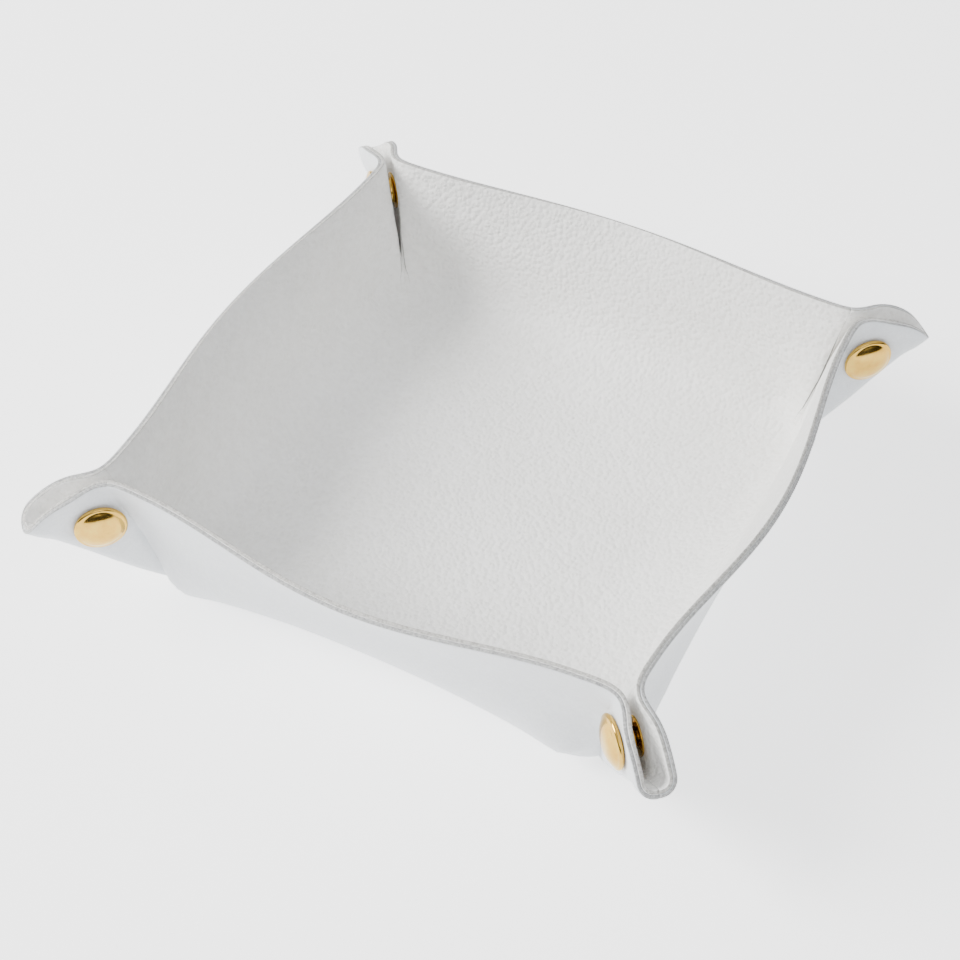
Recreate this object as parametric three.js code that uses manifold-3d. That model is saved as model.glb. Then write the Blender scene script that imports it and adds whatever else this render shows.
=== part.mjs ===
// Folding dice tray: one square of double-ply leather whose four corners are pinched into
// beaks by snap fasteners. Millimetres, +Z up, origin on the table under the middle of the floor.
import * as THREE from "three";
import { mergeVertices } from "three/addons/utils/BufferGeometryUtils.js";
import Module from "manifold-3d";

const wasm = await Module();
wasm.setup();

// ---- driving dimensions -------------------------------------------------------------------
const FLOOR_HALF = 62; // middle of the tray to the line each wall bends about
const WALL_HEIGHT = 43; // of the flat sheet, from that line to its edge
const CORNER_ROUND = 26; // rounding of the sheet's four corners
const LEATHER = 2.2; // both plies with the glue line between them
const GLUE_LINE = 0.3; // gap between the two plies
const WALL_SLOPE = THREE.MathUtils.degToRad(70); // chord of a wall above the table
const BEND_LIFT = 3.9; // how far the bend line lies above the flat of the floor
const BEND_WIDTH = 21; // the floor starts to rise this far inside the bend line
const RIM_LIFT = 0.08; // extra slope of the wall at its rim
const RIM_BOW = 7.5; // the middle of each rim leans out by this much
const BEAK_MOUTH = 3.0; // rim of a wall to the diagonal plane, where it turns into the beak
const CAP_FROM_FOLD = 1.9; // edge of the cap to the fold of the beak
const CAP_FROM_CREASE = 3.9; // edge of the cap to the crease between wall and beak
const SNAP_HALF = 1.6; // inner face of the leather to the diagonal plane at the snap
const TIP_SPREAD = 1.3; // the open loop by the tip is wider by this much on each side
const TIP_LENGTH = 7; // the loop opens over this length beyond the cap
const FOLD_ROUND = 4; // width of the round of the fold
const RIDGE_ROUND = 5; // roundness of the crest between wall and beak
const CREST_START = 8; // the crest rises out of the bend line over this length
const CREST_REACH = 20; // and gets its full roundness this far from the floor's corner
const FLARE_FROM = THREE.MathUtils.degToRad(45); // the wall flattens from this angle to the crease
const BOW_SHARE = 0.98; // of the floor's half side: how far along a rim the bow reaches
const FOLD_OPENS = 0.4; // share of the fold's length over which the beak opens
const SEAT_MARGIN = 0.7; // flat leather beyond the flange of the socket
const SEAT_BLEND = 0.45; // share of the beak's width that blends from the seat to the crest
const LEAST_BLEND = 2;
const STEEPEST_HALF_TURN = THREE.MathUtils.degToRad(38.5); // half the sharpest turn at a bend
const FOLD_RELIEF = 0.4; // each beak half stops this far from the fold
const MIRROR_RELIEF = 0.25; // and this far from the diagonal plane
const VERTEX_GAP = 1.4; // beak halves start three leathers and this gap away from the corner

const CAP_RADIUS = 7.1;
const CAP_HEIGHT = 2.6;
const CAP_WALL = 0.5;
const CAP_STANDOFF = 0.5; // the rim of the cap over the leather, which swells round it
const POST_RADIUS = 1.0;
const POST_FLANGE_INSET = 2.1; // from the edge of the cap in to the flange of its post
const POST_FLANGE = 0.5;
const POST_BORE_CLEARANCE = 0.4; // round the post, in the leather, the socket and the stud
const SOCKET_WALL = 0.5; // outside the groove of the spring
const SOCKET_FLANGE = 1.7; // how far the flange stands out from the socket's wall
const STUD_CLEARANCE = 0.6; // round the head of the stud, inside the socket
const STUD_HEAD_RADIUS = 1.8;
const STUD_FLANGE_RADIUS = 5.2;
const SPRING_WIRE = 0.4;
const TOUCH_GAP = 0.3; // between pieces that touch on the real tray
const SHEET_METAL = 0.4; // thickness of the socket and the stud
const SOCKET_MOUTH = -0.25; // its height above the diagonal plane
const SOCKET_LIP = 0.1; // height of the lip that keeps the spring in, and of the slope above it
const SPRING_HEIGHT = 0.4;
const STUD_TOP = 0.55;
const MALE_TIP = 0.35; // the male post ends this far behind the diagonal plane
const POST_TIP_GAP = 0.05; // the female post ends this far above the socket's floor
const DOME_POWER = 2.6; // a flat top with a rounded shoulder
const NOTHING = 1e-6; // keeps a division from being by zero

const FLOOR_GRID = 10;
const WALL_GRID = [6, 12];
const BEAK_GRID = [8, 7];
const TURNED_SIDES = 16;
const SMALL_SIDES = 12;
const ROW_SPACING = 1.2; // powers that draw the grid lines closer where the leather bends most
const COLUMN_SPACING = 1.5;
const BEAK_SPACING = 1.4;
const NORMAL_STEP = 0.02;
const DOME_RINGS = [0.93, 0.8, 0.55]; // shares of the cap's radius

// ---- what follows from them ---------------------------------------------------------------
const HALF_SHEET = FLOOR_HALF + WALL_HEIGHT;
const FLOOR_MID = LEATHER / 2;
const BEND_Z = FLOOR_MID + BEND_LIFT;
const FOLD_LENGTH = Math.SQRT2 * WALL_HEIGHT;
const SNAP_FROM_FOLD = CAP_RADIUS + CAP_FROM_FOLD;
// Each panel stops this far from its bend line, and each beak half this far from the corner.
const HINGE_RELIEF = (LEATHER / 2) * Math.tan(STEEPEST_HALF_TURN);
const VERTEX_RELIEF = 3 * LEATHER + VERTEX_GAP;
const POST_FLANGE_RADIUS = CAP_RADIUS - POST_FLANGE_INSET;
const SEAT = LEATHER / 2 + SNAP_HALF; // middle of the leather to the diagonal plane
const SOCKET_CAVITY_RADIUS = STUD_HEAD_RADIUS + STUD_CLEARANCE;
const GROOVE_RADIUS = SOCKET_CAVITY_RADIUS + SPRING_WIRE + 2 * TOUCH_GAP;
const SOCKET_RADIUS = GROOVE_RADIUS + SOCKET_WALL;
const SOCKET_FLANGE_RADIUS = SOCKET_RADIUS + SOCKET_FLANGE;
const MIRROR = new THREE.Vector3(1, -1, 0).normalize(); // normal of the corner's diagonal plane
const clamp = THREE.MathUtils.clamp;
const ramp = (x) => THREE.MathUtils.smoothstep(x, 0, 1);

// The crease between wall and beak: its angle in the flat sheet, found so that its end stands
// BEAK_MOUTH away from the diagonal plane.
const CREASE = Math.atan(Math.cos(WALL_SLOPE) - (BEAK_MOUTH * Math.SQRT2) / WALL_HEIGHT);
const HALF_DART = Math.PI / 4 - CREASE;
const WALL_SECTOR = Math.PI / 2 + CREASE;

const corner = new THREE.Vector3(FLOOR_HALF, FLOOR_HALF, BEND_Z);
const upWall = new THREE.Vector3(Math.cos(WALL_SLOPE), 0, Math.sin(WALL_SLOPE));
const alongWall = new THREE.Vector3(0, 1, 0);
const wallIn = new THREE.Vector3(-Math.sin(WALL_SLOPE), 0, Math.cos(WALL_SLOPE));
const crease = upWall.clone().multiplyScalar(Math.cos(CREASE));
crease.addScaledVector(alongWall, Math.sin(CREASE));

// The fold of the beak lies in the diagonal plane, HALF_DART from the crease.
const level = (crease.x + crease.y) / Math.SQRT2;
const reach = Math.acos(Math.cos(HALF_DART) / Math.hypot(level, crease.z));
const foldRise = Math.atan2(crease.z, level) - reach;
const fold = new THREE.Vector3(Math.cos(foldRise), Math.cos(foldRise), 0).divideScalar(Math.SQRT2);
fold.z = Math.sin(foldRise);
const acrossBeak = crease.clone().addScaledVector(fold, -Math.cos(HALF_DART));
acrossBeak.divideScalar(Math.sin(HALF_DART));
const beakOut = new THREE.Vector3().crossVectors(fold, acrossBeak);
beakOut.multiplyScalar(Math.sign(beakOut.dot(MIRROR)));
const beakSpread = acrossBeak.dot(MIRROR);
const beakLean = beakOut.dot(MIRROR);
const halfTurn = Math.acos(clamp(-wallIn.dot(beakOut), -1, 1)) / 2;
const snapAlong = (SNAP_FROM_FOLD + CAP_RADIUS + CAP_FROM_CREASE) / Math.tan(HALF_DART);

// ---- the leather's middle surface, for the +X wall and the corner at +X +Y ------------------
const rise = (u) => clamp((u - (FLOOR_HALF - BEND_WIDTH)) / BEND_WIDTH, 0, 1) ** 2;

function floorPoint(u, v) {
  const lift = 1 - (1 - rise(Math.abs(u))) * (1 - rise(Math.abs(v)));
  return new THREE.Vector3(u, v, FLOOR_MID + BEND_LIFT * lift);
}

// Height of the wall's surface above its chord plane, towards the inside of the tray.
function wallBulge(up, v) {
  const share = up / WALL_HEIGHT;
  const side = Math.abs(v);
  const floorSlope = ((2 * BEND_LIFT) / BEND_WIDTH) * (1 - rise(side));
  const start = Math.tan(WALL_SLOPE - Math.atan(floorSlope));
  let fade = 1;
  for (const end of [1, -1]) {
    const angle = Math.atan2(up, FLOOR_HALF - end * v);
    fade *= 1 - ramp((angle - FLARE_FROM) / (WALL_SECTOR - FLARE_FROM));
  }
  const bend = RIM_LIFT + (start - RIM_LIFT) * (1 - share) ** 2;
  const bow = RIM_BOW * share ** 2 * Math.max(1 - (v / (BOW_SHARE * FLOOR_HALF)) ** 2, 0) ** 2;
  const away = Math.max(up * Math.sin(CREASE) - (side - FLOOR_HALF) * Math.cos(CREASE), 0);
  const round = RIDGE_ROUND * ramp(Math.hypot(up, side - FLOOR_HALF) / CREST_REACH) + NOTHING;
  const crest = Math.tan(halfTurn) * away * Math.exp(-away / round);
  return -up * (1 - share) * bend * fade - bow + crest * ramp(up / CREST_START);
}

function wallPoint(u, v) {
  const up = u - FLOOR_HALF;
  const at = new THREE.Vector3(FLOOR_HALF, 0, BEND_Z);
  at.addScaledVector(upWall, up).addScaledVector(alongWall, v);
  return at.addScaledVector(wallIn, wallBulge(up, v));
}

// Distance of the beak's leather from the diagonal plane.
function beakOpening(along, across) {
  const width = along * Math.tan(HALF_DART);
  const low = ramp(along / (FOLD_OPENS * FOLD_LENGTH));
  const tip = ramp((along - snapAlong - CAP_RADIUS) / TIP_LENGTH);
  const open = (SEAT + TIP_SPREAD * tip) * low;
  const part = clamp(across / Math.max(FOLD_ROUND * low, NOTHING), 0, 1);
  const loop = open * Math.sqrt(1 - (1 - part) ** 2);
  const away = Math.max(width - across, 0) * Math.cos(HALF_DART);
  const round = RIDGE_ROUND * ramp(along / CREST_REACH) + NOTHING;
  const crest = across * beakSpread - Math.tan(halfTurn) * away * Math.exp(-away / round);
  const seatEnd = width - SNAP_FROM_FOLD - SOCKET_FLANGE_RADIUS - SEAT_MARGIN;
  const blend = Math.max(Math.min(SEAT_BLEND * width, Math.max(seatEnd, LEAST_BLEND)), NOTHING);
  const share = ramp((across - (width - blend)) / blend);
  return loop * (1 - share) + crest * share;
}

function beakPoint(u, v) {
  const along = (u + v - 2 * FLOOR_HALF) / Math.SQRT2;
  const across = (u - v) / Math.SQRT2;
  const out = (beakOpening(along, across) - across * beakSpread) / beakLean;
  const at = corner.clone().addScaledVector(fold, along).addScaledVector(acrossBeak, across);
  return at.addScaledVector(beakOut, out);
}

// ---- solids -------------------------------------------------------------------------------
function normalAt(surface, u, v) {
  const du = surface(u + NORMAL_STEP, v).sub(surface(u - NORMAL_STEP, v));
  const dv = surface(u, v + NORMAL_STEP).sub(surface(u, v - NORMAL_STEP));
  return du.cross(dv).normalize();
}

function geometryOf(points, triangles) {
  const geometry = new THREE.BufferGeometry();
  geometry.setAttribute("position", new THREE.Float32BufferAttribute(points, 3));
  geometry.setIndex(triangles);
  return geometry;
}

// A closed slab between two offsets of a surface, over a grid of flat places.
function slab(surface, place, rows, columns, low, high, mirrored) {
  const points = [];
  const triangles = [];
  const count = (rows + 1) * (columns + 1);
  for (const offset of [low, high]) {
    for (let i = 0; i <= rows; i++) {
      for (let j = 0; j <= columns; j++) {
        const [u, v] = place(i / rows, j / columns);
        const at = surface(u, v).addScaledVector(normalAt(surface, u, v), offset);
        points.push(at.x, mirrored ? -at.y : at.y, at.z);
      }
    }
  }
  const id = (layer, i, j) => layer * count + i * (columns + 1) + j;
  const quad = (a, b, c, d) => triangles.push(a, b, c, a, c, d);
  for (let i = 0; i < rows; i++) {
    for (let j = 0; j < columns; j++) {
      quad(id(1, i, j), id(1, i + 1, j), id(1, i + 1, j + 1), id(1, i, j + 1));
      quad(id(0, i, j), id(0, i, j + 1), id(0, i + 1, j + 1), id(0, i + 1, j));
    }
    quad(id(0, i, 0), id(0, i + 1, 0), id(1, i + 1, 0), id(1, i, 0));
    quad(id(0, i + 1, columns), id(0, i, columns), id(1, i, columns), id(1, i + 1, columns));
  }
  for (let j = 0; j < columns; j++) {
    quad(id(0, 0, j + 1), id(0, 0, j), id(1, 0, j), id(1, 0, j + 1));
    quad(id(0, rows, j), id(0, rows, j + 1), id(1, rows, j + 1), id(1, rows, j));
  }
  if (mirrored) triangles.reverse();
  return geometryOf(points, triangles);
}

function toSolid(geometry) {
  const bare = geometry.clone();
  bare.deleteAttribute("normal");
  bare.deleteAttribute("uv");
  const merged = mergeVertices(bare, 1e-4);
  const mesh = new wasm.Mesh({
    numProp: 3,
    vertProperties: new Float32Array(merged.attributes.position.array),
    triVerts: new Uint32Array(merged.index.array),
  });
  return new wasm.Manifold(mesh);
}

function toGeometry(solid) {
  const mesh = solid.getMesh();
  return geometryOf(Array.from(mesh.vertProperties), Array.from(mesh.triVerts));
}

// Everything behind a plane, as a large block.
function behind(point, normal) {
  const size = 6 * HALF_SHEET;
  const block = new THREE.BoxGeometry(size, size, size);
  const turn = new THREE.Quaternion().setFromUnitVectors(new THREE.Vector3(0, 0, 1), normal);
  block.applyQuaternion(turn);
  const middle = point.clone().addScaledVector(normal, -size / 2);
  block.translate(middle.x, middle.y, middle.z);
  return toSolid(block);
}

const flipY = (vector) => new THREE.Vector3(vector.x, -vector.y, vector.z);
const onSide = (vector, mirrored) => (mirrored ? flipY(vector) : vector.clone());

// Middle of a snap: its axis crosses the diagonal plane here.
const snapCentre = corner.clone().addScaledVector(fold, snapAlong);
snapCentre.addScaledVector(acrossBeak, SNAP_FROM_FOLD);
snapCentre.addScaledVector(MIRROR, -snapCentre.clone().sub(corner).dot(MIRROR));
const snapProud = (SEAT - SNAP_FROM_FOLD * beakSpread) / beakLean;
snapCentre.addScaledVector(beakOut.clone().addScaledVector(MIRROR, -beakLean), snapProud);

function snapPlace(mirrored) {
  const axis = onSide(MIRROR, mirrored);
  const turn = new THREE.Quaternion().setFromUnitVectors(new THREE.Vector3(0, 0, 1), axis);
  const at = onSide(snapCentre, mirrored);
  return new THREE.Matrix4().compose(at, turn, new THREE.Vector3(1, 1, 1));
}

function postHole(mirrored) {
  const drill = new THREE.CylinderGeometry(
    POST_RADIUS + POST_BORE_CLEARANCE,
    POST_RADIUS + POST_BORE_CLEARANCE,
    4 * SEAT + 4 * LEATHER,
    SMALL_SIDES,
  );
  drill.rotateX(Math.PI / 2);
  drill.applyMatrix4(snapPlace(mirrored));
  return toSolid(drill);
}

// ---- the flat places each panel covers ----------------------------------------------------
const floorPlace = (i, j) => {
  const half = FLOOR_HALF - HINGE_RELIEF;
  return [half * (2 * i - 1), half * (2 * j - 1)];
};

const wallPlace = (i, j) => {
  const up = HINGE_RELIEF + (WALL_HEIGHT - HINGE_RELIEF) * i ** ROW_SPACING;
  const half = FLOOR_HALF + up * Math.tan(CREASE) - HINGE_RELIEF / Math.cos(CREASE);
  const spread = 2 * j - 1;
  const eased = Math.sign(spread) * (1 - (1 - Math.abs(spread)) ** COLUMN_SPACING);
  return [FLOOR_HALF + up, half * eased];
};

// Distance from the floor's corner to the sheet's edge, at an angle from the diagonal.
function edgeReach(angle) {
  const direction = Math.PI / 4 - angle;
  const straight = WALL_HEIGHT / Math.cos(direction);
  if (straight * Math.sin(direction) < WALL_HEIGHT - CORNER_ROUND) return straight;
  const centre = WALL_HEIGHT - CORNER_ROUND;
  const middle = centre * (Math.cos(direction) + Math.sin(direction));
  return middle + Math.sqrt(middle ** 2 - 2 * centre ** 2 + CORNER_ROUND ** 2);
}

const beakPlace = (i, j) => {
  const share = (1 - j) ** BEAK_SPACING;
  const angle = HALF_DART * share;
  const radius = VERTEX_RELIEF + (edgeReach(angle) - VERTEX_RELIEF) * i;
  const across = radius * Math.sin(angle) + FOLD_RELIEF - (HINGE_RELIEF + FOLD_RELIEF) * share;
  const along = radius * Math.cos(angle) + (HINGE_RELIEF - FOLD_RELIEF) * share;
  return [FLOOR_HALF + (along + across) / Math.SQRT2, FLOOR_HALF + (along - across) / Math.SQRT2];
};

// ---- pieces -------------------------------------------------------------------------------
const innerLeather = { color: 0xebe9e4, roughness: 0.62, metalness: 0 };
const outerLeather = { color: 0xc6cacd, roughness: 0.5, metalness: 0 };
const brass = { color: 0xc9a24e, roughness: 0.28, metalness: 1 };
const steel = { color: 0xb9b9bd, roughness: 0.35, metalness: 1 };

const tray = new THREE.Group();

function add(name, geometry, finish, turns = 0) {
  const mesh = new THREE.Mesh(geometry, new THREE.MeshStandardMaterial(finish));
  mesh.name = name;
  mesh.rotation.z = (turns * Math.PI) / 2;
  tray.add(mesh);
}

const plies = [
  { name: "inner_ply", low: GLUE_LINE / 2, high: LEATHER / 2, finish: innerLeather },
  { name: "outer_ply", low: -LEATHER / 2, high: -GLUE_LINE / 2, finish: outerLeather },
];

function addFloor() {
  for (const ply of plies) {
    const solid = slab(floorPoint, floorPlace, FLOOR_GRID, FLOOR_GRID, ply.low, ply.high, false);
    add(`floor_${ply.name}`, solid, ply.finish);
  }
}

function wallSolid(ply) {
  let solid = toSolid(slab(wallPoint, wallPlace, ...WALL_GRID, ply.low, ply.high, false));
  for (const mirrored of [false, true]) {
    const normal = onSide(MIRROR, mirrored);
    const edge = normal.clone().multiplyScalar(MIRROR_RELIEF);
    solid = solid.subtract(behind(edge, normal));
  }
  return toGeometry(solid);
}

function beakSolid(ply, mirrored) {
  let solid = toSolid(slab(beakPoint, beakPlace, ...BEAK_GRID, ply.low, ply.high, mirrored));
  const normal = onSide(MIRROR, mirrored);
  solid = solid.subtract(behind(normal.clone().multiplyScalar(MIRROR_RELIEF), normal));
  const across = onSide(acrossBeak, mirrored);
  const foldEdge = onSide(corner, mirrored).addScaledVector(across, FOLD_RELIEF);
  solid = solid.subtract(behind(foldEdge, across));
  return toGeometry(solid.subtract(postHole(mirrored)));
}

// Profiles run from the axis out and back, as radius and height above the diagonal plane.
function lathe(profile, sides = TURNED_SIDES) {
  const points = profile.map(([r, z]) => new THREE.Vector2(r, z));
  return new THREE.LatheGeometry(points, sides).rotateX(Math.PI / 2);
}

const leatherInside = SEAT - LEATHER / 2;
const leatherOutside = SEAT + LEATHER / 2;

function capGeometry() {
  const rim = leatherOutside + CAP_STANDOFF;
  const dome = (r) => rim + CAP_WALL + (CAP_HEIGHT - CAP_WALL) * (1 - (r / CAP_RADIUS) ** DOME_POWER);
  const radii = DOME_RINGS.map((share) => share * CAP_RADIUS);
  const inside = radii.map((r) => [r - CAP_WALL / 2, dome(r) - CAP_WALL]);
  const outside = [...radii].reverse().map((r) => [r, dome(r)]);
  return lathe([
    [0, dome(0) - CAP_WALL],
    ...[...inside].reverse(),
    [CAP_RADIUS - CAP_WALL, rim],
    [CAP_RADIUS, rim],
    [CAP_RADIUS, dome(CAP_RADIUS)],
    ...[...outside].reverse(),
    [0, dome(0)],
  ]);
}

function postGeometry(tip) {
  const under = leatherOutside + TOUCH_GAP;
  return lathe(
    [
      [0, tip],
      [POST_RADIUS, tip],
      [POST_RADIUS, under],
      [POST_FLANGE_RADIUS, under],
      [POST_FLANGE_RADIUS, under + POST_FLANGE],
      [0, under + POST_FLANGE],
    ],
    SMALL_SIDES,
  );
}

const socketTop = leatherInside - TOUCH_GAP;
const socketFloor = socketTop - SHEET_METAL;

function socketGeometry() {
  const bore = POST_RADIUS + POST_BORE_CLEARANCE;
  return lathe([
    [bore, socketTop],
    [bore, socketFloor],
    [GROOVE_RADIUS, socketFloor],
    [GROOVE_RADIUS, SOCKET_MOUTH + 2 * SOCKET_LIP],
    [SOCKET_CAVITY_RADIUS, SOCKET_MOUTH + SOCKET_LIP],
    [SOCKET_CAVITY_RADIUS, SOCKET_MOUTH],
    [SOCKET_RADIUS, SOCKET_MOUTH],
    [SOCKET_RADIUS, socketFloor - SHEET_METAL / 2],
    [SOCKET_FLANGE_RADIUS, socketFloor],
    [SOCKET_FLANGE_RADIUS, socketTop],
    [bore, socketTop],
  ]);
}

function springGeometry() {
  const ring = new THREE.TorusGeometry(
    SOCKET_CAVITY_RADIUS + SPRING_WIRE / 2 + TOUCH_GAP / 2,
    SPRING_WIRE / 2,
    6,
    18,
  );
  return ring.translate(0, 0, SPRING_HEIGHT);
}

function studGeometry() {
  const bore = POST_RADIUS + POST_BORE_CLEARANCE;
  const base = -socketTop;
  return lathe([
    [bore, base],
    [STUD_FLANGE_RADIUS, base],
    [STUD_FLANGE_RADIUS, base + SHEET_METAL],
    [STUD_HEAD_RADIUS + SHEET_METAL, base + 2 * SHEET_METAL],
    [STUD_HEAD_RADIUS, -SHEET_METAL / 2],
    [STUD_HEAD_RADIUS, STUD_TOP - SHEET_METAL],
    [bore, STUD_TOP],
    [0, STUD_TOP],
    [0, STUD_TOP - SHEET_METAL],
    [bore, STUD_TOP - SHEET_METAL],
    [bore, base],
  ]);
}

// The female half goes on the beak half that turns towards MIRROR, the male half on its twin.
function snapPiece(geometry, mirrored) {
  const piece = geometry.clone();
  piece.applyMatrix4(snapPlace(mirrored));
  return piece;
}

const turned = (geometry) => geometry.rotateX(Math.PI);

function addCorner(name, next, previous, turns) {
  for (const ply of plies) {
    add(`${name}_beak_${previous}_${ply.name}`, beakSolid(ply, false), ply.finish, turns);
    add(`${name}_beak_${next}_${ply.name}`, beakSolid(ply, true), ply.finish, turns + 1);
  }
  const pieces = {
    cap_female: [capGeometry(), brass],
    post_female: [postGeometry(socketFloor + POST_TIP_GAP), brass],
    socket: [socketGeometry(), brass],
    ring_spring: [springGeometry(), steel],
    stud: [studGeometry(), brass],
    cap_male: [turned(capGeometry()), brass],
    post_male: [turned(postGeometry(MALE_TIP)), brass],
  };
  for (const [piece, [geometry, finish]] of Object.entries(pieces)) {
    add(`${name}_${piece}`, snapPiece(geometry, false), finish, turns);
  }
}

addFloor();
const walls = ["right", "back", "left", "front"];
walls.forEach((name, turns) => {
  for (const ply of plies) add(`${name}_wall_${ply.name}`, wallSolid(ply), ply.finish, turns);
});
const corners = ["back_right", "back_left", "front_left", "front_right"];
corners.forEach((name, turns) => addCorner(name, walls[(turns + 1) % 4], walls[turns], turns));

export default tray;
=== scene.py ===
"""Folding dice tray: a square of double-ply leather snapped up at its four corners."""
import math

import bmesh
import bpy
from mathutils import Matrix, Quaternion, Vector


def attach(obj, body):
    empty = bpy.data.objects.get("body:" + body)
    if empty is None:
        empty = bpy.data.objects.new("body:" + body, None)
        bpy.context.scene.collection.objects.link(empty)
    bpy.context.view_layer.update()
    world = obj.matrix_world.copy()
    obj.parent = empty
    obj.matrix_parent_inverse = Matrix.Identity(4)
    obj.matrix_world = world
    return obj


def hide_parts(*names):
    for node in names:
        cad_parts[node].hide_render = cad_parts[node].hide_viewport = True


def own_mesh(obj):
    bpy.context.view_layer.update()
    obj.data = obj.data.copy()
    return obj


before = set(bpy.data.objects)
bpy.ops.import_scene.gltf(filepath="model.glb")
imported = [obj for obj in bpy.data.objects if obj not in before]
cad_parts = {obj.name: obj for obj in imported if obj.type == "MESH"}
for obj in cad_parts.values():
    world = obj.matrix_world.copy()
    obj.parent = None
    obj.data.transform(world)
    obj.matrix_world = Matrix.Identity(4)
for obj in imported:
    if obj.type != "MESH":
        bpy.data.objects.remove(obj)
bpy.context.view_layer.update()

MM = 0.001

# ---- the tray's dimensions, in millimetres, as the CAD model has them -----------------------
HALF_SHEET = 105.0
CORNER_ROUND = 26.0
LEATHER = 2.2
FLOOR_HALF = 62.0
WALL_SLOPE = math.radians(70)
BEND_LIFT = 3.9
BEND_WIDTH = 21.0
RIM_LIFT = 0.08
RIM_BOW = 7.5
BEAK_MOUTH = 3.0
CAP_FROM_CREASE = 3.9
CAP_FROM_FOLD = 1.9
SNAP_HALF = 1.6
TIP_SPREAD = 1.3
TIP_LENGTH = 7.0
FOLD_ROUND = 4.0
RIDGE_ROUND = 5.0
CREST_START = 8.0
CREST_REACH = 20.0
FLARE_FROM = math.radians(45)
BOW_SHARE = 0.98
FOLD_OPENS = 0.4
SEAT_MARGIN = 0.7
SEAT_BLEND = 0.45
LEAST_BLEND = 2.0
NOTHING = 1e-6  # keeps a division from being by zero
CAP_RADIUS = 7.1
CORNER_DIP = 3.8  # the floor's corners lie lower than the bend lines of the walls
CORNER_STRETCH = 2.6  # and this much further out
CORNER_REACH = 29.0
SOCKET_FLANGE_RADIUS = 5.6
EDGE_BEVEL = 0.34

# Grids of the panels, and the powers that draw their lines closer at the bends.
ROWS, COLUMNS, BEAK_COLUMNS = 44, 72, 36
ROW_SPACING = 1.5
COLUMN_SPACING = 1.6
FOLD_SPACING = 1.7
CREASE_SPACING = 1.3
WELD = 0.02
SAME_PLACE = 1e-4
EDGE_SLACK = 0.01

# Smoothing at the floor's corners: reach and number of rounds.
RELAXING = ((30, 12), (20, 20), (10, 30))

CAMERA_AZIMUTH = math.radians(27.91)
CAMERA_ELEVATION = math.radians(46.17)
CAMERA_LENS = 77.75
CAMERA_DISTANCE = 0.5986
CAMERA_TARGET = (-0.00836, 0.00737, 0)

FLOOR_MID = LEATHER / 2
BEND_Z = FLOOR_MID + BEND_LIFT
WALL_HEIGHT = HALF_SHEET - FLOOR_HALF
FOLD_LENGTH = math.sqrt(2) * WALL_HEIGHT
SEAT = LEATHER / 2 + SNAP_HALF  # middle of the leather to the diagonal plane
SNAP_FROM_FOLD = CAP_RADIUS + CAP_FROM_FOLD
MIRROR = Vector((1, -1, 0)).normalized()

CREASE = math.atan(math.cos(WALL_SLOPE) - BEAK_MOUTH * math.sqrt(2) / WALL_HEIGHT)
HALF_DART = math.pi / 4 - CREASE
WALL_SECTOR = math.pi / 2 + CREASE

corner = Vector((FLOOR_HALF, FLOOR_HALF, BEND_Z))
up_wall = Vector((math.cos(WALL_SLOPE), 0, math.sin(WALL_SLOPE)))
along_wall = Vector((0, 1, 0))
wall_in = Vector((-math.sin(WALL_SLOPE), 0, math.cos(WALL_SLOPE)))
crease = up_wall * math.cos(CREASE) + along_wall * math.sin(CREASE)
level = (crease.x + crease.y) / math.sqrt(2)
reach = math.acos(math.cos(HALF_DART) / math.hypot(level, crease.z))
fold_rise = math.atan2(crease.z, level) - reach
fold_level = math.cos(fold_rise) / math.sqrt(2)
fold = Vector((fold_level, fold_level, math.sin(fold_rise)))
across_beak = (crease - fold * math.cos(HALF_DART)) / math.sin(HALF_DART)
beak_out = fold.cross(across_beak)
beak_out *= math.copysign(1, beak_out.dot(MIRROR))
beak_spread = across_beak.dot(MIRROR)
beak_lean = beak_out.dot(MIRROR)
half_turn = math.acos(-wall_in.dot(beak_out)) / 2
snap_along = (SNAP_FROM_FOLD + CAP_RADIUS + CAP_FROM_CREASE) / math.tan(HALF_DART)


def clamp(x, low=0.0, high=1.0):
    return max(low, min(high, x))


def ramp(x):
    x = clamp(x)
    return x * x * (3 - 2 * x)


# ---- the leather's middle surface, over places (u, v) of the flat sheet ---------------------
def rise(u):
    return clamp((u - FLOOR_HALF + BEND_WIDTH) / BEND_WIDTH) ** 2


def floor_point(u, v):
    lift = 1 - (1 - rise(abs(u))) * (1 - rise(abs(v)))
    return Vector((u, v, FLOOR_MID + BEND_LIFT * lift))


def wall_bulge(up, v):
    share = up / WALL_HEIGHT
    side = abs(v)
    floor_slope = 2 * BEND_LIFT / BEND_WIDTH * (1 - rise(side))
    start = math.tan(WALL_SLOPE - math.atan(floor_slope))
    fade = 1
    for end in (1, -1):
        angle = math.atan2(up, FLOOR_HALF - end * v)
        fade *= 1 - ramp((angle - FLARE_FROM) / (WALL_SECTOR - FLARE_FROM))
    bend = RIM_LIFT + (start - RIM_LIFT) * (1 - share) ** 2
    bow = RIM_BOW * share ** 2 * max(1 - (v / (BOW_SHARE * FLOOR_HALF)) ** 2, 0) ** 2
    away = max(up * math.sin(CREASE) - (side - FLOOR_HALF) * math.cos(CREASE), 0)
    roundness = RIDGE_ROUND * ramp(math.hypot(up, side - FLOOR_HALF) / CREST_REACH) + NOTHING
    ridge = math.tan(half_turn) * away * math.exp(-away / roundness) * ramp(up / CREST_START)
    return -up * (1 - share) * bend * fade - bow + ridge


def wall_point(u, v):
    up = u - FLOOR_HALF
    at = Vector((FLOOR_HALF, 0, BEND_Z)) + up_wall * up + along_wall * v
    return at + wall_in * wall_bulge(up, v)


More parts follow.
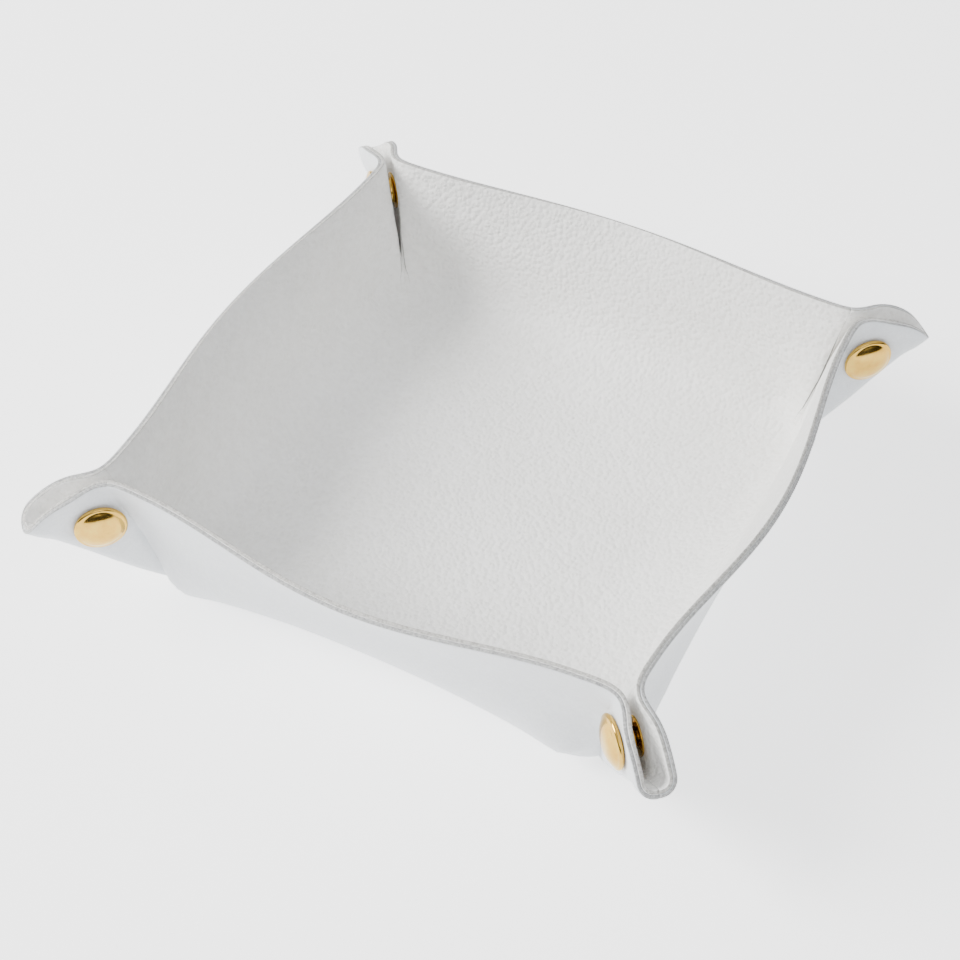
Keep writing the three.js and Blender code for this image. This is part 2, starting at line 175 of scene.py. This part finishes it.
def beak_opening(along, across):
    width = along * math.tan(HALF_DART)
    low = ramp(along / (FOLD_OPENS * FOLD_LENGTH))
    tip = ramp((along - snap_along - CAP_RADIUS) / TIP_LENGTH)
    opening = (SEAT + TIP_SPREAD * tip) * low
    part = clamp(across / max(FOLD_ROUND * low, NOTHING))
    loop = opening * math.sqrt(1 - (1 - part) ** 2)
    away = max(width - across, 0) * math.cos(HALF_DART)
    roundness = RIDGE_ROUND * ramp(along / CREST_REACH) + NOTHING
    crest = across * beak_spread - math.tan(half_turn) * away * math.exp(-away / roundness)
    seat_end = width - SNAP_FROM_FOLD - SOCKET_FLANGE_RADIUS - SEAT_MARGIN
    blend = max(min(SEAT_BLEND * width, max(seat_end, LEAST_BLEND)), NOTHING)
    share = ramp((across - (width - blend)) / blend)
    return loop * (1 - share) + crest * share


def beak_point(u, v):
    along = (u + v - 2 * FLOOR_HALF) / math.sqrt(2)
    across = (u - v) / math.sqrt(2)
    out = (beak_opening(along, across) - across * beak_spread) / beak_lean
    return corner + fold * along + across_beak * across + beak_out * out


# ---- the flat places that each panel covers -------------------------------------------------
def ease_ends(t):
    """0 to 1 with small steps at both ends."""
    spread = 2 * t - 1
    return 0.5 + 0.5 * math.copysign(1 - (1 - abs(spread)) ** COLUMN_SPACING, spread)


def floor_place(i, j):
    return FLOOR_HALF * (2 * ease_ends(i) - 1), FLOOR_HALF * (2 * ease_ends(j) - 1)


def wall_place(i, j):
    up = WALL_HEIGHT * i ** ROW_SPACING
    half = FLOOR_HALF + up * math.tan(CREASE)
    return FLOOR_HALF + up, half * (2 * ease_ends(j) - 1)


def edge_reach(angle):
    """From the floor's corner to the edge of the sheet, at an angle from the diagonal."""
    direction = math.pi / 4 - angle
    straight = WALL_HEIGHT / math.cos(direction)
    if straight * math.sin(direction) < WALL_HEIGHT - CORNER_ROUND:
        return straight
    centre = WALL_HEIGHT - CORNER_ROUND
    middle = centre * (math.cos(direction) + math.sin(direction))
    return middle + math.sqrt(middle ** 2 - 2 * centre ** 2 + CORNER_ROUND ** 2)


def beak_place(i, j):
    share = 1 - j
    if share < 0.5:
        share = share ** FOLD_SPACING
    else:
        share = 1 - (1 - 0.5 ** FOLD_SPACING) * ((1 - share) / 0.5) ** CREASE_SPACING
    angle = HALF_DART * share
    radius = edge_reach(angle) * i ** ROW_SPACING
    along = radius * math.cos(angle)
    across = radius * math.sin(angle)
    u = FLOOR_HALF + (along + across) / math.sqrt(2)
    v = FLOOR_HALF + (along - across) / math.sqrt(2)
    return u, v


# ---- materials ------------------------------------------------------------------------------
# Numbers of the sockets for colours on a Mix node, and for a piece's own coordinates.
MIX_COLOUR_OUT = 2
MIX_COLOURS_IN = 6
OBJECT_COORDINATES = 3


class Value:
    """A number socket that takes arithmetic."""

    def __init__(self, maker, socket):
        self.maker = maker
        self.socket = socket

    def math(self, operation, *values):
        return self.maker.node("ShaderNodeMath", {"operation": operation}, self, *values)

    def __add__(self, other):
        return self.math("ADD", other)

    def __mul__(self, other):
        return self.math("MULTIPLY", other)

    def __sub__(self, other):
        return self.math("SUBTRACT", other)

    def __rsub__(self, other):
        return self.maker.node("ShaderNodeMath", {"operation": "SUBTRACT"}, other, self)

    __radd__ = __add__
    __rmul__ = __mul__


class Maker:
    """Makes the nodes of one material, or of the sky."""

    def __init__(self, owner):
        owner.use_nodes = True
        self.owner = owner
        self.tree = owner.node_tree

    def put(self, socket, value):
        if isinstance(value, Value):
            self.tree.links.new(value.socket, socket)
        elif value is not None:
            socket.default_value = value

    def node(self, kind, settings, *values, out=0, **named):
        made = self.tree.nodes.new(kind)
        for key, setting in settings.items():
            if key == "stops":
                for element, (position, colour) in zip(made.color_ramp.elements, setting):
                    element.position = position
                    element.color = (*colour, 1)
            else:
                setattr(made, key, setting)
        for socket, value in zip(made.inputs, values):
            self.put(socket, value)
        for key, value in named.items():
            self.put(made.inputs[key.replace("_", " ")], value)
        return Value(self, made.outputs[out])

    def noise(self, place, scale, detail, roughness):
        settings = {"Vector": place, "Scale": scale, "Detail": detail, "Roughness": roughness}
        return self.node("ShaderNodeTexNoise", {}, **settings)

    def mix(self, factor, first, second):
        mixed = self.node("ShaderNodeMix", {"data_type": "RGBA"}, factor, out=MIX_COLOUR_OUT)
        self.put(mixed.socket.node.inputs[MIX_COLOURS_IN], first)
        self.put(mixed.socket.node.inputs[MIX_COLOURS_IN + 1], second)
        return mixed

    def ramp(self, factor, low, high):
        return self.node("ShaderNodeValToRGB", {"stops": (low, high)}, factor)

    def finish(self, shader="Principled BSDF", **sockets):
        for key, value in sockets.items():
            self.put(self.tree.nodes[shader].inputs[key.replace("_", " ")], value)
        return self.owner


def leather(name, dark, light, grain, grain_depth, roughness, worn):
    """Pebbled leather, patterned over the flat sheet so that it runs on from panel to panel."""
    maker = Maker(bpy.data.materials.new(name))
    place = maker.node("ShaderNodeUVMap", {"uv_map": "flat_sheet"})
    pebbles = maker.node(
        "ShaderNodeTexVoronoi", {"feature": "SMOOTH_F1"}, Vector=place, Scale=grain, Smoothness=0.35
    )
    fibres = maker.noise(place, grain * 2.6, 4.0, 0.6)
    patches = maker.noise(place, 28.0, 5.0, 0.55)
    scuffs = maker.noise(place, 260.0, 3.0, 0.5)
    depth = patches * 0.55 + scuffs * 0.25 + pebbles * 0.25
    tone = maker.ramp(depth, (0.3, dark), (0.7, light))
    scuffed = maker.ramp(scuffs, (0.62, (0, 0, 0)), (0.78, (1, 1, 1)))
    colour = maker.mix(scuffed * 0.12, tone, (*worn, 1))
    height = fibres * 0.35 - pebbles
    bump = maker.node("ShaderNodeBump", {}, Strength=1.0, Distance=grain_depth * MM, Height=height)
    rough = roughness + 0.12 * patches + 0.08 * pebbles
    return maker.finish(Base_Color=colour, Roughness=rough, Normal=bump, Specular_IOR_Level=0.35)


def cut_edge(name, colour, core):
    """The painted cut edge of a ply, with a little of the core showing through."""
    maker = Maker(bpy.data.materials.new(name))
    place = maker.node("ShaderNodeTexCoord", {}, out=OBJECT_COORDINATES)
    fibres = maker.noise(place, 1500.0, 4.0, 0.7)
    tone = maker.ramp(fibres, (0.35, core), (0.6, colour))
    bump = maker.node("ShaderNodeBump", {}, Strength=0.5, Distance=0.08 * MM, Height=fibres)
    return maker.finish(Base_Color=tone, Roughness=0.72, Normal=bump)


def polished_metal(name, colour, deep, roughness):
    """Polished plate with fine wear, a little deeper in tone where it is handled less."""
    maker = Maker(bpy.data.materials.new(name))
    place = maker.node("ShaderNodeTexCoord", {}, out=OBJECT_COORDINATES)
    cloud = maker.noise(place, 220.0, 4.0, 0.6)
    scratches = maker.noise(place, 2600.0, 2.0, 0.5)
    tone = maker.ramp(cloud, (0.3, deep), (0.65, colour))
    wear = cloud + scratches * 0.4
    bump = maker.node("ShaderNodeBump", {}, Strength=0.45, Distance=0.03 * MM, Height=wear)
    rough = roughness + 0.12 * cloud
    return maker.finish(Base_Color=tone, Metallic=1.0, Roughness=rough, Normal=bump)


INNER = leather(
    "inner_leather",
    dark=(0.84, 0.83, 0.80),
    light=(0.94, 0.935, 0.915),
    grain=760.0,
    grain_depth=0.42,
    roughness=0.46,
    worn=(0.93, 0.92, 0.90),
)
OUTER = leather(
    "outer_leather",
    dark=(0.62, 0.64, 0.66),
    light=(0.72, 0.745, 0.765),
    grain=1300.0,
    grain_depth=0.05,
    roughness=0.32,
    worn=(0.78, 0.79, 0.80),
)
INNER_EDGE = cut_edge("inner_cut_edge", (0.60, 0.59, 0.56), (0.30, 0.29, 0.27))
OUTER_EDGE = cut_edge("outer_cut_edge", (0.52, 0.52, 0.51), (0.24, 0.24, 0.24))
BRASS = polished_metal("polished_brass", (0.64, 0.41, 0.09), (0.50, 0.29, 0.05), 0.09)
SPRING = polished_metal("spring_wire", (0.62, 0.62, 0.64), (0.45, 0.45, 0.47), 0.25)


# ---- making pieces --------------------------------------------------------------------------
def piece_from(bm, name, materials):
    mesh = bpy.data.meshes.new(name)
    for face in bm.faces:
        face.smooth = True
    bm.to_mesh(mesh)
    bm.free()
    piece = bpy.data.objects.new(name, mesh)
    bpy.context.scene.collection.objects.link(piece)
    for material in materials:
        mesh.materials.append(material)
    return piece


class Panel:
    """One panel of the sheet, as on the +X wall, and how it is turned to its place."""

    def __init__(self, name, surface, place, size, normal, hinge, turns=0, mirrored=False):
        self.name = name
        self.surface = surface
        self.place = place
        self.size = size
        self.normal = normal
        self.hinge = hinge
        self.turns = turns
        self.mirrored = mirrored

    def turned(self, at):
        side = -1 if self.mirrored else 1
        quarter = Matrix.Rotation(self.turns * math.pi / 2, 3, "Z")
        return quarter @ Vector((at.x, side * at.y, at.z))


def settle(at, u, v):
    """The soft corner of the floor sinks and spreads, where the rigid panels would meet."""
    distance = math.hypot(abs(u) - FLOOR_HALF, abs(v) - FLOOR_HALF)
    nearness = math.exp(-((distance / CORNER_REACH) ** 2))
    spread = CORNER_STRETCH * nearness
    stretch = Vector((math.copysign(spread, u), math.copysign(spread, v), 0))
    share = 1
    if abs(u) <= FLOOR_HALF and abs(v) <= FLOOR_HALF:
        share = (at.z - FLOOR_MID) / BEND_LIFT
    return at + stretch - Vector((0, 0, CORNER_DIP * share * nearness))


def lay_panel(whole, panel, number):
    """Adds one panel to the whole sheet: a grid of flat places laid over its surface."""
    bm = bmesh.new()
    rows, columns = panel.size
    bmesh.ops.create_grid(bm, x_segments=rows, y_segments=columns, size=0.5)
    uv = bm.loops.layers.uv.new("flat_sheet")
    number_of = bm.faces.layers.int.new("panel")
    flat = {}
    for vert in bm.verts:
        u, v = panel.place(vert.co.x + 0.5, vert.co.y + 0.5)
        vert.co = panel.turned(settle(panel.surface(u, v), u, v))
        flat[vert] = panel.turned(Vector((u, v, 0))) * MM
    for face in bm.faces:
        face[number_of] = number
        for loop in face.loops:
            loop[uv].uv = flat[loop.vert].xy
    if panel.mirrored:
        bmesh.ops.reverse_faces(bm, faces=bm.faces)
    mesh = bpy.data.meshes.new("panel")
    bm.to_mesh(mesh)
    bm.free()
    whole.from_mesh(mesh)
    bpy.data.meshes.remove(mesh)


def on_sheet_edge(flat):
    across = max(abs(flat.x), abs(flat.y))
    inside = (HALF_SHEET - CORNER_ROUND) * MM
    over = Vector((max(abs(flat.x) - inside, 0), max(abs(flat.y) - inside, 0)))
    if across > (HALF_SHEET - EDGE_SLACK) * MM:
        return True
    return over.length > (CORNER_ROUND - EDGE_SLACK) * MM


def relax(bm, verts):
    bmesh.ops.smooth_vert(
        bm, verts=verts, factor=0.5, use_axis_x=True, use_axis_y=True, use_axis_z=True
    )


def relax_corners(whole, uv):
    """Smooths the sheet round the floor's corners and along the folds that start there."""
    rim = {v for v in whole.verts if on_sheet_edge(v.link_loops[0][uv].uv)}
    for reach, rounds in RELAXING:
        near = []
        for vert in whole.verts:
            flat = vert.link_loops[0][uv].uv
            gap = math.hypot(abs(flat.x) / MM - FLOOR_HALF, abs(flat.y) / MM - FLOOR_HALF)
            if gap < reach and vert not in rim:
                near.append(vert)
        for _ in range(rounds):
            relax(whole, near)


def cut_panel(whole, number):
    """A copy of the sheet with only one panel's faces."""
    bm = whole.copy()
    panel = bm.faces.layers.int["panel"]
    bmesh.ops.delete(bm, geom=[f for f in bm.faces if f[panel] != number], context="FACES")
    uv = bm.loops.layers.uv["flat_sheet"]
    weight = bm.edges.layers.float.new("bevel_weight_edge")
    for edge in bm.edges:
        if edge.is_boundary:
            rim = all(on_sheet_edge(vert.link_loops[0][uv].uv) for vert in edge.verts)
            edge[weight] = 1.0 if rim else 0.0
            edge.smooth = rim
    return bm


def add_ply(bm, name, ply):
    """Gives a copy of a panel the thickness of one ply."""
    inner = ply == "inner_ply"
    materials = [INNER, INNER_EDGE] if inner else [OUTER, OUTER_EDGE]
    piece = piece_from(bm.copy(), f"{name}_{ply}_leather", materials)
    thick = piece.modifiers.new("ply", "SOLIDIFY")
    thick.thickness = LEATHER / 2 * MM
    thick.offset = 1 if inner else -1
    thick.material_offset_rim = 1
    soft = piece.modifiers.new("edge", "BEVEL")
    soft.limit_method = "WEIGHT"
    soft.width = EDGE_BEVEL * MM
    soft.segments = 3
    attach(piece, name)
    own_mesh(piece)
    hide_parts(f"{name}_{ply}")


def add_sheet(panels):
    """Lays every panel, welds them into one sheet, smooths it, and cuts it into its plies."""
    whole = bmesh.new()
    for number, panel in enumerate(panels):
        lay_panel(whole, panel, number)
    bmesh.ops.remove_doubles(whole, verts=whole.verts, dist=WELD)
    bmesh.ops.dissolve_degenerate(whole, edges=whole.edges, dist=SAME_PLACE)
    relax_corners(whole, whole.loops.layers.uv["flat_sheet"])
    bmesh.ops.scale(whole, vec=(MM, MM, MM), verts=whole.verts)
    for number, panel in enumerate(panels):
        bm = cut_panel(whole, number)
        axis = tuple(panel.turned(panel.normal))
        anchor = tuple(panel.turned(panel.hinge) * MM)
        for ply in ("inner_ply", "outer_ply"):
            add_ply(bm, panel.name, ply)
        bm.free()
    whole.free()


# ---- snap fasteners -------------------------------------------------------------------------
snap_proud = (SEAT - SNAP_FROM_FOLD * beak_spread) / beak_lean
snap_centre = corner + fold * snap_along + across_beak * SNAP_FROM_FOLD
snap_centre -= MIRROR * (snap_centre - corner).dot(MIRROR)
snap_centre += (beak_out - MIRROR * beak_lean) * snap_proud

LEATHER_INSIDE = SEAT - LEATHER / 2
LEATHER_OUTSIDE = SEAT + LEATHER / 2
TOUCH = 0.02
CAP_GAP = 0.12
CAP_RISE = 3.3
CAP_RIM = 0.75
CAP_POWER = 2.8  # a flat top with a rounded shoulder
CAP_RINGS = 14
TURNED_SIDES = 72
FEMALE_TIP = 1.25
MALE_TIP = 0.6


def turned_piece(name, profile, material, turns, flipped, body, node):
    """A piece turned about the snap's axis from a profile of (radius, height) pairs."""
    bm = bmesh.new()
    verts = [bm.verts.new((r, 0, z)) for r, z in profile]
    edges = [bm.edges.new(pair) for pair in zip(verts, verts[1:])]
    bmesh.ops.spin(
        bm,
        geom=verts + edges,
        cent=(0, 0, 0),
        axis=(0, 0, 1),
        angle=2 * math.pi,
        steps=TURNED_SIDES,
        use_merge=True,
    )
    bmesh.ops.remove_doubles(bm, verts=bm.verts, dist=SAME_PLACE)
    bmesh.ops.recalc_face_normals(bm, faces=bm.faces)
    tilt = Quaternion((1, 0, 0), math.pi) if flipped else Quaternion()
    turn = Vector((0, 0, 1)).rotation_difference(MIRROR)
    place = Matrix.Rotation(turns * math.pi / 2, 4, "Z") @ Matrix.Translation(snap_centre)
    place = place @ turn.to_matrix().to_4x4() @ tilt.to_matrix().to_4x4()
    bmesh.ops.transform(bm, matrix=Matrix.Scale(MM, 4) @ place, verts=bm.verts)
    piece = piece_from(bm, name, [material])
    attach(piece, body)
    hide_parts(node)


def arc(centre, radius, first, last, steps):
    """Points of an arc in a profile; angles in degrees from the radial direction."""
    points = []
    for k in range(steps + 1):
        angle = math.radians(first + (last - first) * k / steps)
        out = centre[0] + radius * math.cos(angle)
        height = centre[1] + radius * math.sin(angle)
        points.append((out, height))
    return points


def cap_profile():
    """A flattened dome that rolls over into a rim and turns in under the edge."""
    under = LEATHER_OUTSIDE + CAP_GAP
    shoulder = CAP_RADIUS - CAP_RIM
    dome = []
    for k in range(CAP_RINGS + 1):
        share = k / CAP_RINGS
        fall = (CAP_RISE - 2 * CAP_RIM) * share ** CAP_POWER
        dome.append((shoulder * share, under + CAP_RISE - fall))
    rolled = arc((shoulder, under + CAP_RIM), CAP_RIM, 75, -90, 10)
    inside = [
        (CAP_RADIUS - 1.6, under),
        (CAP_RADIUS - 1.7, under + 0.5),
        (3.0, under + 2.2),
        (0, under + 2.3),
    ]
    return dome + rolled + inside


def post_profile(tip):
    under = LEATHER_OUTSIDE + 0.15
    return [
        (0, tip),
        (0.8, tip),
        (1.0, tip + 0.15),
        (1.0, under - 0.15),
        (1.15, under),
        (4.6, under),
        (4.8, under + 0.1),
        (4.8, under + 0.35),
        (4.6, under + 0.45),
        (0, under + 0.45),
    ]


def socket_profile():
    top = LEATHER_INSIDE - TOUCH
    mouth = -0.3
    body = 3.9
    flange = arc((5.35, top - 0.25), 0.25, 90, -90, 6)
    bead = arc((body - 0.45, mouth + 0.35), 0.35, 0, -180, 8)
    neck = [(body + 0.35, top - 0.55), (body + 0.05, top - 0.75), (body - 0.1, mouth + 0.4)]
    lip = [(2.45, mouth + 0.5), (2.55, 0.0)]
    groove = [(3.1, 0.1), (3.1, 0.85)]
    roof = [(2.6, top - 0.4), (1.4, top - 0.4), (1.4, top)]
    return [(1.4, top)] + flange + neck + bead + lip + groove + roof


def stud_profile():
    base = -(LEATHER_INSIDE - TOUCH)
    flange = arc((4.95, base + 0.25), 0.25, -90, 90, 6)
    head = arc((1.35, 0.1), 0.5, -10, 90, 8)
    waist = [(2.6, base + 0.55), (1.9, base + 0.8), (1.62, -0.45), (1.65, -0.2)]
    crown = [(0.9, 0.6), (0, 0.6), (0, 0.3)]
    inside = [(0.8, 0.25), (1.15, 0.0), (1.4, base + 0.6), (1.4, base)]
    return [(1.4, base)] + flange + waist + head + crown + inside


def spring_profile():
    """A round wire."""
    return arc((2.78, 0.42), 0.2, 0, 360, 10)


def add_snap(name, turns, female, male):
    def add(piece, profile, flipped, body):
        node = f"{name}_{piece}"
        turned_piece(f"{node}_brass", profile, BRASS, turns, flipped, body, node)

    add("cap_female", cap_profile(), False, female)
    add("post_female", post_profile(FEMALE_TIP), False, female)
    add("socket", socket_profile(), False, female)
    spring = f"{name}_ring_spring"
    wire = f"{spring}_wire"
    turned_piece(wire, spring_profile(), SPRING, turns, False, female, spring)
    add("stud", stud_profile(), False, male)
    add("cap_male", cap_profile(), True, male)
    add("post_male", post_profile(MALE_TIP), True, male)


# ---- the whole tray -------------------------------------------------------------------------
walls = ["right", "back", "left", "front"]
corners = ["back_right", "back_left", "front_left", "front_right"]
upward = Vector((0, 0, 1))
bend_height = Vector((0, 0, BEND_Z))
floor_grid = (COLUMNS, COLUMNS)
wall_grid = (ROWS, COLUMNS)
beak_grid = (ROWS, BEAK_COLUMNS)

panels = [Panel("floor", floor_point, floor_place, floor_grid, upward, bend_height)]
for turns, wall in enumerate(walls):
    panels.append(Panel(f"{wall}_wall", wall_point, wall_place, wall_grid, wall_in, corner, turns))
for turns, name in enumerate(corners):
    first = f"{name}_beak_{walls[turns]}"
    second = f"{name}_beak_{walls[(turns + 1) % 4]}"
    beak = (beak_point, beak_place, beak_grid, beak_out, corner)
    panels.append(Panel(first, *beak, turns))
    panels.append(Panel(second, *beak, turns + 1, mirrored=True))
    add_snap(name, turns, first, second)
add_sheet(panels)


# ---- table, light and camera ----------------------------------------------------------------
def add_table():
    bm = bmesh.new()
    bmesh.ops.create_grid(bm, x_segments=1, y_segments=1, size=3)
    maker = Maker(bpy.data.materials.new("pale_table"))
    place = maker.node("ShaderNodeTexCoord", {}, out=OBJECT_COORDINATES)
    grain = maker.noise(place, 4.0, 2.0, 0.5)
    tone = maker.ramp(grain, (0.0, (0.86, 0.86, 0.86)), (1.0, (0.9, 0.9, 0.9)))
    white = (1.0, 1.0, 1.0, 1)
    pale = maker.finish(
        Base_Color=tone, Roughness=0.7, Emission_Color=white, Emission_Strength=1.6
    )
    table = piece_from(bm, "table_top", [pale])


def add_light(name, place, size, power, colour):
    data = bpy.data.lights.new(name, "AREA")
    data.shape = "DISK"
    data.size = size
    data.energy = power
    data.color = colour
    light = bpy.data.objects.new(name, data)
    light.location = place
    light.rotation_euler = (-Vector(place)).to_track_quat("-Z", "Y").to_euler()
    bpy.context.scene.collection.objects.link(light)


def add_sky():
    """Bright overhead and dark near the horizon, which the polished caps mirror."""
    maker = Maker(bpy.data.worlds.new("studio"))
    direction = maker.node("ShaderNodeTexCoord", {})
    height = maker.node("ShaderNodeSeparateXYZ", {}, direction, out=2)
    shade = maker.ramp(height, (0.28, (0.05, 0.05, 0.055)), (0.55, (1.0, 1.02, 1.05)))
    bpy.context.scene.world = maker.finish("Background", Color=shade, Strength=1.15)


def add_camera():
    level = math.cos(CAMERA_ELEVATION)
    east = math.sin(CAMERA_AZIMUTH) * level
    south = -math.cos(CAMERA_AZIMUTH) * level
    back = Vector((east, south, math.sin(CAMERA_ELEVATION)))
    data = bpy.data.cameras.new("camera")
    data.lens = CAMERA_LENS
    data.clip_start = 0.01
    camera = bpy.data.objects.new("camera", data)
    camera.location = Vector(CAMERA_TARGET) + back * CAMERA_DISTANCE
    camera.rotation_euler = (-back).to_track_quat("-Z", "Y").to_euler()
    bpy.context.scene.collection.objects.link(camera)
    bpy.context.scene.camera = camera


add_table()
add_light("key", (-1.3, -0.55, 0.95), 0.9, 58.0, (1.0, 0.99, 0.97))
add_light("fill", (0.9, -0.9, 1.2), 1.2, 5.0, (0.97, 0.98, 1.0))
add_sky()
add_camera()
